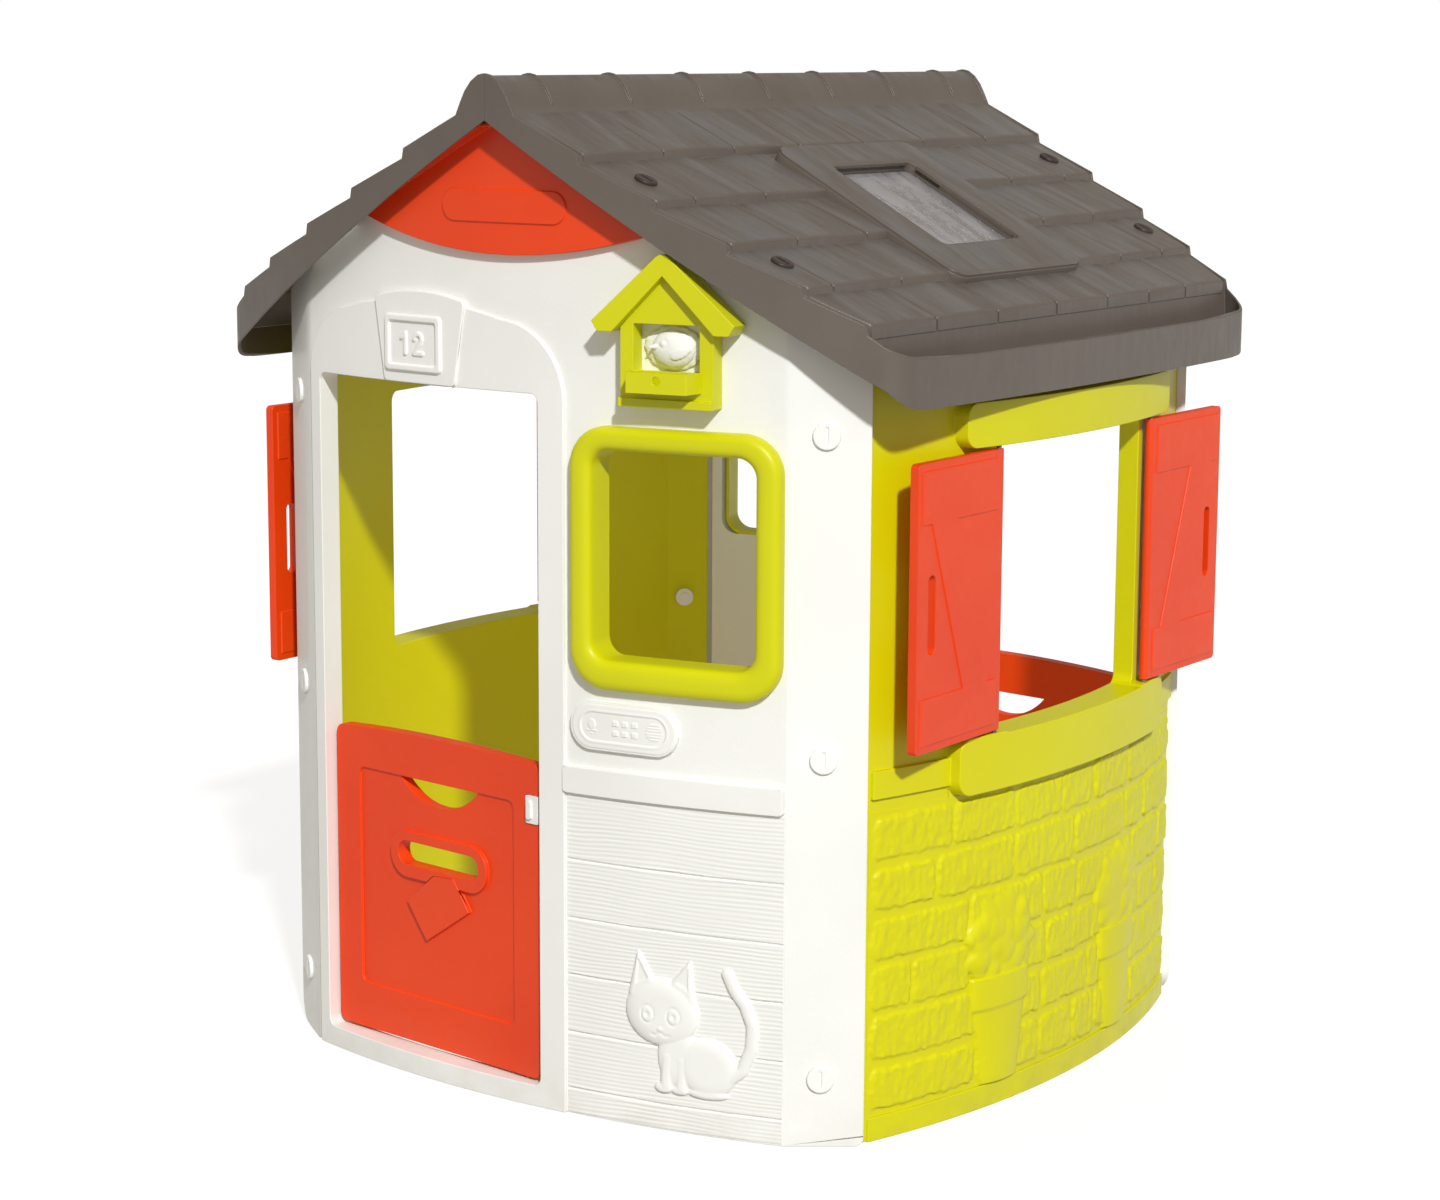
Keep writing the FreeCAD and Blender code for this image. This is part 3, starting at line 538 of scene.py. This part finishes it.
def cat_height(x, z):
    top = -0.0020
    x -= CAT_X
    z -= CAT_Z
    head = oval(x, z, 0.074, 0.130, 0.063, 0.055)
    ears = min(pointed_ear(x, z, (0.044, 0.160), (0.033, 0.222), 0.026),
               pointed_ear(x, z, (0.104, 0.158), (0.121, 0.216), 0.026))
    chest = oval(x, z, 0.100, 0.062, 0.034, 0.052)
    haunch = oval(x, z, 0.150, 0.050, 0.050, 0.048)
    legs = min(stroke(x, z, [(0.084, 0.060), (0.082, 0.014)], 0.011),
               stroke(x, z, [(0.108, 0.056), (0.108, 0.012)], 0.011))
    paws = min(oval(x, z, 0.078, 0.009, 0.017, 0.009), oval(x, z, 0.105, 0.008, 0.017, 0.008),
               oval(x, z, 0.150, 0.008, 0.036, 0.009))
    tail = stroke(x, z, [(0.178, 0.030), (0.206, 0.052), (0.220, 0.088), (0.222, 0.124), (0.210, 0.156),
                         (0.192, 0.180), (0.182, 0.202)], 0.0105)
    for d, high, width in ((chest, 0.0062, 0.020), (haunch, 0.0075, 0.024), (legs, 0.0068, 0.009),
                           (paws, 0.0062, 0.006), (tail, 0.0060, 0.010), (ears, 0.0066, 0.009),
                           (head, 0.0098, 0.030)):
        if d < 0:
            top = max(top, 0.0012 + swell(d, high, width))
    if head < 0:
        for ex in (0.052, 0.096):
            eye = oval(x, z, ex, 0.126, 0.010, 0.013)
            top += 0.0011 * ease(-eye / 0.002) - 0.0016 * ease(-(eye + 0.006) / 0.002)
            top -= 0.0012 * math.exp(-((eye - 0.0008) / 0.0012) ** 2)
        nose = oval(x, z, 0.074, 0.104, 0.005, 0.0036)
        top += 0.0014 * ease(-nose / 0.0015)
        mouth = min(stroke(x, z, [(0.074, 0.099), (0.066, 0.093), (0.059, 0.095)], 0.0006),
                    stroke(x, z, [(0.074, 0.099), (0.082, 0.093), (0.089, 0.095)], 0.0006))
        top -= 0.0012 * math.exp(-(max(mouth, 0) / 0.0012) ** 2)
    if ears < 0 < head:
        fold = min(pointed_ear(x, z, (0.042, 0.176), (0.035, 0.209), 0.010),
                   pointed_ear(x, z, (0.108, 0.174), (0.118, 0.203), 0.010))
        top -= 0.0022 * ease(-fold / 0.002)
    return top


cat = cut_relief("front_cat", span(0.204, 0.443, 0.0019), span(0.059, 0.300, 0.0019), on_front, cat_height,
                 -0.0019, -0.0030, white_smooth, WHITE)
half_turn(cat, "back_cat")


# ---------------------------------------------------------------- number plate and call panel

PLATE_X, PLATE_Z = -0.190, 1.1995
DIGITS = [
    [(-0.0240, 0.0080), (-0.0160, 0.0150), (-0.0160, -0.0160)],
    [(0.0040, 0.0070), (0.0060, 0.0130), (0.0120, 0.0155), (0.0185, 0.0130), (0.0205, 0.0070),
     (0.0180, 0.0010), (0.0040, -0.0155), (0.0215, -0.0155)],
]


def plate_height(x, z):
    level = 0.0118
    d = rounded_box(x, z, PLATE_X, PLATE_Z, 0.063, 0.0455, 0.009)
    inner = rounded_box(x, z, PLATE_X, PLATE_Z, 0.053, 0.0355, 0.006)
    if d > 0:
        return 0.0095
    level += 0.0042 * ease(-d / 0.003) * ease((inner + 0.003) / 0.003)
    px, pz = x - PLATE_X, z - PLATE_Z
    for digit in DIGITS:
        near = stroke(px, pz, digit, 0.0046)
        level += 0.0030 * ease(-near / 0.002)
    return level


plate = cut_relief("front_number_plate", span(-0.2545, -0.1255, 0.0012), span(1.1525, 1.2465, 0.0012), on_front,
                   plate_height, 0.0100, 0.0085, white_smooth, WHITE)
half_turn(plate, "back_number_plate")


PANEL_X, PANEL_Z = 0.2125, 0.631


def panel_height(x, z):
    d = rounded_box(x, z, PANEL_X, PANEL_Z, 0.0935, 0.038, 0.0375)
    if d > 0:
        return 0.0055
    level = 0.0085 * math.sqrt(1 - (1 - clamp(-d / 0.006)) ** 2) + 0.0006
    well = rounded_box(x, z, PANEL_X, PANEL_Z, 0.074, 0.0225, 0.0220)
    level -= 0.0014 * ease((-well) / 0.002)
    level += 0.0008 * math.exp(-((well - 0.002) / 0.0018) ** 2)
    for i in range(3):
        for j in range(2):
            key = rounded_box(x, z, 0.1995 + i * 0.0165, 0.6385 - j * 0.0155, 0.0058, 0.0050, 0.0015)
            level += 0.0019 * ease(-key / 0.0015)
    speaker = math.hypot(x - 0.2665, z - PANEL_Z) - 0.0155
    level += 0.0014 * ease(-speaker / 0.0015)
    if speaker < -0.001:
        level -= 0.0010 * (0.5 + 0.5 * math.cos((z - PANEL_Z) * 2 * math.pi / 0.0045))
    bell = min(oval(x, z, 0.1580, 0.634, 0.0075, 0.0095), stroke(x, z, [(0.1490, 0.624), (0.1670, 0.624)], 0.0016),
               oval(x, z, 0.1580, 0.6195, 0.0026, 0.0022))
    level += 0.0018 * ease(-bell / 0.0015)
    return level


panel = cut_relief("front_call_panel", span(0.118, 0.307, 0.0013), span(0.592, 0.670, 0.0013), on_front,
                   panel_height, 0.0057, 0.0040, white_smooth, WHITE)
half_turn(panel, "back_call_panel")


# ---------------------------------------------------------------- stones and flower pots of the side walls

STONE_HALF_RUN = 0.484
STONE_SMALLEST, STONE_LARGEST = 0.075, 0.235
STONE_HALF_GAP = 0.0034
STONE_LINES = (0.044, 0.123, 0.202, 0.281, 0.360, 0.439, 0.517)
stone_random = random.Random(23)
STONE_ROWS = []
for low, high in zip(STONE_LINES, STONE_LINES[1:]):
    row = []
    y = -STONE_HALF_RUN
    while y < 0.470:
        wide = stone_random.uniform(STONE_SMALLEST, STONE_LARGEST)
        if STONE_HALF_RUN - (y + wide) < STONE_SMALLEST:
            wide = STONE_HALF_RUN - y
        inset = stone_random.uniform(0.0, 0.006)
        row.append((y + wide / 2, (low + high) / 2 - inset / 2,
                    wide / 2 - STONE_HALF_GAP, (high - low) / 2 - STONE_HALF_GAP - inset,
                    stone_random.uniform(-0.0006, 0.0010), stone_random.uniform(0, 40)))
        y += wide
    STONE_ROWS.append(row)
POTS = ((-0.204, 0.0), (0.175, 5.0))


def crown(y, z, cy, seed):
    """Signed distance to the bushy plant over a pot."""
    angle = math.atan2(z - 0.262, y - cy)
    ragged = 1 + 0.055 * math.cos(9 * angle + seed) + 0.035 * math.cos(15 * angle + 2 * seed)
    top = oval(y, z, cy, 0.268, 0.084 * ragged, 0.080 * ragged)
    skirt = oval(y, z, cy + 0.006, 0.206, 0.066 * ragged, 0.044 * ragged)
    return min(top, skirt)


def pot_height(y, z, cy, seed):
    level = -1.0
    dy = y - cy
    if 0.036 < z < 0.215:
        rim = ease((z - 0.162) / 0.0035)
        half = 0.045 + 0.019 * clamp((z - 0.036) / 0.126) + 0.007 * rim
        if abs(dy) < half:
            level = (0.0030 + 0.0105 * math.sqrt(1 - (dy / half) ** 2) + 0.0026 * rim) * ease((z - 0.036) / 0.006)
    d = crown(y, z, cy, seed)
    if d < 0:
        spots = noise.voronoi(Vector((y * 30 + seed, z * 26, seed)))[0]
        lobe = 1 - clamp(spots[0] / 0.62) ** 2
        level = max(level, 0.0040 + swell(d, 0.0075, 0.055) + 0.0042 * lobe * ease(-d / 0.012))
    return level


def stone_height(y, z):
    level = 0.0009 + 0.0004 * noise.noise(Vector((y * 60, z * 60, 2)))
    row = next((i for i in range(6) if z < STONE_LINES[i + 1]), 5)
    wy = y + 0.0052 * noise.noise(Vector((y * 30, z * 30, 5))) + 0.0032 * noise.noise(Vector((y * 95, z * 95, 8)))
    wz = z + 0.0046 * noise.noise(Vector((y * 26, z * 26, 15))) + 0.0032 * noise.noise(Vector((y * 95, z * 95, 18)))
    for cy, cz, hy, hz, lift, seed in STONE_ROWS[row]:
        if abs(y - cy) < hy + 0.01:
            d = rounded_box(wy, wz, cy, cz, hy, hz, 0.011)
            if d < 0.001:
                chisel = noise.noise(Vector((y * 105 + seed, z * 42, seed))) * 0.0021
                chisel += noise.noise(Vector((y * 260, z * 140, seed))) * 0.0012
                chisel += noise.noise(Vector((y * 22, z * 22, seed))) * 0.0008
                level = max(level, 0.0009 + (0.0034 + lift + chisel) * ease((0.001 - d) / 0.0035))
    for cy, seed in POTS:
        if abs(y - cy) < 0.12:
            level = max(level, pot_height(y, z, cy, seed))
    return level


stones = relief("right_stones", span(-0.4885, 0.4885, 0.0028), span(0.0385, 0.5195, 0.0028), on_side, stone_height,
                -0.0030, lime, LIME)
half_turn(stones, "left_stones")


# ---------------------------------------------------------------- window frames

RING_PROFILE_MM = [(0, 0.3), (0, 10), (0.5, 14.5), (2.2, 18.5), (5, 21.8), (9, 24.0), (13.5, 25), (22, 25),
                   (28, 24.4), (33, 22.4), (36.6, 19), (38.4, 14.5), (39, 9), (39, -8), (39, -22), (39, -36),
                   (33.5, -36), (33.5, 0.3), (16, 0.3)]
ring = swept_ring("window_frame_front_soft",
                  rounded_path(0.124, 0.469, 0.690, 1.096, 0.062, 14, 8),
                  rounded_path(0.163, 0.430, 0.738, 1.060, 0.030, 14, 8),
                  [(d / 39, h / 1000) for d, h in RING_PROFILE_MM], on_front, lime_smooth, LIME)
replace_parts(ring, "window_frame_front")
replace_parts(half_turn(ring, "window_frame_back_soft"), "window_frame_back")


# ---------------------------------------------------------------- skylight kerb

COS_SLOPE = math.cos(ROOF_SLOPE)
KERB_PROFILE_MM = [(-0.6, -24), (-0.6, -7), (0.2, -3.4), (2.6, -0.6), (6.5, 0.9), (12, 1.2), (34, 1.2), (42, 2.4),
                   (58, 2.4), (63, 1.2), (66, -1.8), (67, -6), (67, -12), (64, -12), (64, -4), (30, -4), (4, -6)]
kerb = swept_ring("skylight_kerb_right",
                  rounded_path(0.188 / COS_SLOPE, 0.538 / COS_SLOPE, -0.205, 0.205, 0.034, 8, 8),
                  rounded_path(0.247 / COS_SLOPE, 0.461 / COS_SLOPE, -0.122, 0.122, 0.014, 8, 8),
                  [(d / 67, h / 1000) for d, h in KERB_PROFILE_MM], on_kerb, grey, GREY)
half_turn(kerb, "skylight_kerb_left")


# ---------------------------------------------------------------- roof tiles

# Each row: x and z of its upper edge, x and z of its lower edge, joints along the ridge
TILE_ROWS = [
    (0.056, 1.556, 0.166, 1.500, (-0.476, -0.284, -0.095, 0.098, 0.288, 0.497)),
    (0.170, 1.488, 0.288, 1.435, (-0.564, -0.378, 0.381, 0.570)),
    (0.292, 1.4235, 0.405, 1.3745, (-0.461, -0.269, 0.287, 0.462)),
    (0.409, 1.3615, 0.517, 1.314, (-0.537, -0.348, 0.358, 0.509)),
    (0.521, 1.3025, 0.605, 1.2615, (-0.385, -0.204, -0.021, 0.149, 0.294, 0.426)),
]
tile_random = random.Random(5)
TILE_HALF_GAP = 0.0025
KERB_CLEAR_Y = 0.198
EDGE_STEPS = (0.0, 0.0002, 0.0007, 0.0015, 0.0026, 0.0040)


def eased_span(a, b, step, both=True):
    inner = span(a + (0.008 if both else 0.0), b - 0.008, step)
    head = [a + e for e in EDGE_STEPS] if both else []
    return head + inner + [b - e for e in reversed(EDGE_STEPS)]


def tile(row, ya, yb, verts, faces, verge_a, verge_b):
    x0, z0, x1, z1, _ = row
    front = x1 + 0.003
    start = x0 - 0.006
    tip_a, tip_b = tile_random.uniform(-0.0007, 0.0012), tile_random.uniform(-0.0007, 0.0012)
    seed = tile_random.uniform(0, 60)
    slant = (z1 - z0) / (x1 - x0)
    skew = tile_random.uniform(-0.002, 0.002)

    def sides(x):
        a = -(verge_y(x) - VERGE_INSET) if verge_a else ya + skew * (x - x0) / 0.1
        b = verge_y(x) - VERGE_INSET if verge_b else yb + skew * (x - x0) / 0.1
        return a, b

    def place(x, share, lift):
        a, b = sides(x)
        return Vector((x, a + (b - a) * share, z0 + slant * (x - x0) + lift))

    width = yb - ya
    shares = [(y - ya) / width for y in eased_span(ya, yb, 0.016)]

    def height(x, share):
        r = 0.0040
        ex, ey = front - x, min(share, 1 - share) * width
        d = min(math.hypot(max(0, r - ex), max(0, r - ey)), r)
        drop = r - math.sqrt(r * r - d * d)
        dome = 0.0012 * (1 - (2 * share - 1) ** 2)
        waver = 0.0009 * noise.noise(Vector((x * 14 + seed, share * 3, seed)))
        rise = 0.0010 + 0.0038 * clamp((x - x0) / (x1 - x0))
        return rise + dome + waver + tip_a * (1 - share) + tip_b * share - drop

    def floor(x, share):
        return -0.003 - 0.0125 * ease((x - front + 0.030) / 0.020)

    sheet_faces(eased_span(start, front, 0.012, False), shares, place, height, floor, verts, faces)


def tile_rows():
    verts, faces = [], []
    for row in TILE_ROWS:
        x0, _, x1, _, joints = row
        end = verge_y((x0 + x1) / 2) - VERGE_INSET
        marks = [-end] + list(joints) + [end]
        for k in range(len(marks) - 1):
            a, b = marks[k], marks[k + 1]
            first, last = k == 0, k == len(marks) - 2
            a += 0 if first else TILE_HALF_GAP
            b -= 0 if last else TILE_HALF_GAP
            beside_kerb = 0.16 < x0 and x1 < 0.52
            if beside_kerb and a < 0 < b:
                tile(row, a, -KERB_CLEAR_Y, verts, faces, first, False)
                tile(row, KERB_CLEAR_Y, b, verts, faces, False, last)
            else:
                tile(row, a, b, verts, faces, first, last)
    return verts, faces


verts, faces = tile_rows()
tiles = make_piece("roof_tiles_right", verts, faces, grey, GREY, "house", 55)
half_turn(tiles, "roof_tiles_left")


# ---------------------------------------------------------------- generic bird behind the opening

def bird_ball(bm, centre, radii, shape):
    ball = bmesh.ops.create_uvsphere(bm, u_segments=72, v_segments=44, radius=1.0)
    for v in ball["verts"]:
        x, y, z = v.co
        x, y, z = Vector((x, y, z)) * shape(x, y, z)
        v.co = Vector((centre[0] + x * radii[0], centre[1] + y * radii[1], centre[2] + z * radii[2]))


def ruff_shape(x, y, z):
    """Round bed of leaves behind the bird, with a scalloped edge."""
    angle = math.atan2(z, x)
    away = clamp((math.hypot(x, z) - 0.5) / 0.5)
    return 1 + away * (0.05 * abs(math.cos(8 * angle)) - 0.06 + 0.02 * math.sin(5 * angle))


def body_shape(x, y, z):
    scale = 1 + 0.012 * noise.noise(Vector((x * 5, y * 5, z * 7)))
    if y < 0:
        eye = math.hypot(x + 0.34, z - 0.26)
        scale += 0.10 * math.exp(-(eye / 0.11) ** 2) - 0.07 * math.exp(-((eye - 0.20) / 0.05) ** 2)
        along_wing = (x - 0.42) * 0.83 + (z + 0.20) * 0.55
        across_wing = (z + 0.20) * 0.83 - (x - 0.42) * 0.55
        wing = math.hypot(along_wing / 0.50, across_wing / 0.25)
        scale += 0.10 * ease((1 - wing) / 0.22) * (1 - 0.16 * math.cos(26 * along_wing) * ease(along_wing / 0.2))
    return scale


BIRD_X, BIRD_Z = 0.296, 1.219


def bird_mesh():
    turn = math.asin(BIRD_X / FRONT_R)
    along = Vector((math.cos(turn), math.sin(turn), 0))
    out = Vector((math.sin(turn), -math.cos(turn), 0))
    centre = on_front(BIRD_X, BIRD_Z, 0.003)
    bm = bmesh.new()
    bird_ball(bm, (0, 0, 0), (0.0495, 0.009, 0.0345), ruff_shape)
    bird_ball(bm, (0.002, -0.003, -0.001), (0.036, 0.017, 0.0295), body_shape)
    beak = bmesh.ops.create_cone(bm, cap_ends=True, segments=24, radius1=0.0060, radius2=0.0008, depth=0.014)
    tilt = Vector((-0.75, -0.60, -0.10)).normalized().to_track_quat("Z", "Y").to_matrix()
    for v in beak["verts"]:
        v.co = tilt @ v.co + Vector((-0.0270, -0.0155, 0.0015))
    for v in bm.verts:
        x, y, z = v.co
        v.co = centre + along * x + out * -y + Vector((0, 0, z))
    mesh = bpy.data.meshes.new("bird")
    bm.to_mesh(mesh)
    bm.free()
    return mesh


bird = finish_mesh(bird_mesh(), "bird", white_smooth, WHITE, "house", 60)
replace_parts(bird, "bird_figure")


# ---------------------------------------------------------------- camera, light and floor

CAMERA_PLACE = (3.1027, -4.5275, 1.6685)
CAMERA_TURN, CAMERA_TILT, CAMERA_ROLL = 34.8765, 9.7976, 0.2798
CAMERA_LENS = 80.88
CAMERA_SENSOR = 36
HOUSE_MIDDLE_Z = 0.8
SUN_DISTANCE = 7.0
CABIN_LAMP_PLACE = (0, 0, 0.85)
CABIN_LAMP_POWER = 2.8
CABIN_LAMP_RADIUS = 0.28
FLOOR_HALF_SIZE = 30
FLOOR_GLOW = 0.80
ROOM_GLOW = 0.42


def add_camera():
    turn, tilt, roll = (math.radians(a) for a in (CAMERA_TURN, CAMERA_TILT, CAMERA_ROLL))
    forward = Vector((-math.sin(turn) * math.cos(tilt), math.cos(turn) * math.cos(tilt), -math.sin(tilt)))
    right = Vector((math.cos(turn), math.sin(turn), 0))
    up = right.cross(forward)
    level_right = right * math.cos(roll) + up * math.sin(roll)
    level_up = up * math.cos(roll) - right * math.sin(roll)
    data = bpy.data.cameras.new("camera")
    data.sensor_width = CAMERA_SENSOR
    data.lens = CAMERA_LENS
    data.clip_end = 200
    camera = bpy.data.objects.new("camera", data)
    bpy.context.scene.collection.objects.link(camera)
    matrix = Matrix((level_right, level_up, -forward)).transposed().to_4x4()
    matrix.translation = Vector(CAMERA_PLACE)
    camera.matrix_world = matrix
    bpy.context.scene.camera = camera


def add_sun(name, azimuth, elevation, power, tint, spread):
    a, e = math.radians(azimuth), math.radians(elevation)
    aim = Vector((0, 0, HOUSE_MIDDLE_Z))
    spot = aim + SUN_DISTANCE * Vector((math.sin(a) * math.cos(e), -math.cos(a) * math.cos(e), math.sin(e)))
    data = bpy.data.lights.new(name, "SUN")
    data.angle = math.radians(spread)
    data.energy = power
    data.color = tint
    lamp = bpy.data.objects.new(name, data)
    bpy.context.scene.collection.objects.link(lamp)
    lamp.location = spot
    lamp.rotation_euler = (aim - spot).to_track_quat("-Z", "Y").to_euler()


def add_cabin_lamp():
    """Soft light inside, standing for the glow of the bright floor through doors and windows."""
    data = bpy.data.lights.new("cabin", "POINT")
    data.energy = CABIN_LAMP_POWER
    data.shadow_soft_size = CABIN_LAMP_RADIUS
    data.color = (1.0, 0.96, 0.86)
    lamp = bpy.data.objects.new("cabin", data)
    bpy.context.scene.collection.objects.link(lamp)
    lamp.location = CABIN_LAMP_PLACE
    lamp.visible_camera = False
    lamp.visible_glossy = False


def add_floor():
    bm = bmesh.new()
    bmesh.ops.create_grid(bm, x_segments=24, y_segments=24, size=FLOOR_HALF_SIZE)
    mesh = bpy.data.meshes.new("floor")
    bm.to_mesh(mesh)
    bm.free()
    floor = bpy.data.objects.new("floor", mesh)
    floor.location = (0, 0, -0.0005)
    bpy.context.scene.collection.objects.link(floor)
    m = Material("floor_white")
    m.feed("Base Color", m.mix(m.noise(1.5, 3), (0.24, 0.24, 0.238, 1), (0.26, 0.26, 0.258, 1)))
    m.set("Roughness", 0.7)
    m.set("Specular IOR Level", 0.1)
    m.set("Emission Color", (1, 1, 1, 1))
    m.set("Emission Strength", FLOOR_GLOW)
    floor.visible_diffuse = False
    mesh.materials.append(m.data)


def add_world():
    world = bpy.data.worlds.new("studio")
    bpy.context.scene.world = world
    world.use_nodes = True
    tree = world.node_tree
    tree.nodes.clear()
    out = tree.nodes.new("ShaderNodeOutputWorld")
    path = tree.nodes.new("ShaderNodeLightPath")
    lit = tree.nodes.new("ShaderNodeBackground")
    lit.inputs["Color"].default_value = (1.0, 0.945, 0.85, 1)
    lit.inputs["Strength"].default_value = ROOM_GLOW
    seen = tree.nodes.new("ShaderNodeBackground")
    seen.inputs["Color"].default_value = (1, 1, 1, 1)
    seen.inputs["Strength"].default_value = 1.0
    mix = tree.nodes.new("ShaderNodeMixShader")
    tree.links.new(path.outputs["Is Camera Ray"], mix.inputs[0])
    tree.links.new(lit.outputs[0], mix.inputs[1])
    tree.links.new(seen.outputs[0], mix.inputs[2])
    tree.links.new(mix.outputs[0], out.inputs["Surface"])


add_camera()
add_world()
add_floor()
add_sun("key", 47, 34, 3.05, (0.975, 0.99, 1.0), 3.0)
add_sun("left_fill", -80, 40, 0.12, (1.0, 0.98, 0.96), 20.0)
add_cabin_lamp()
bpy.context.scene.view_settings.view_transform = "Standard"
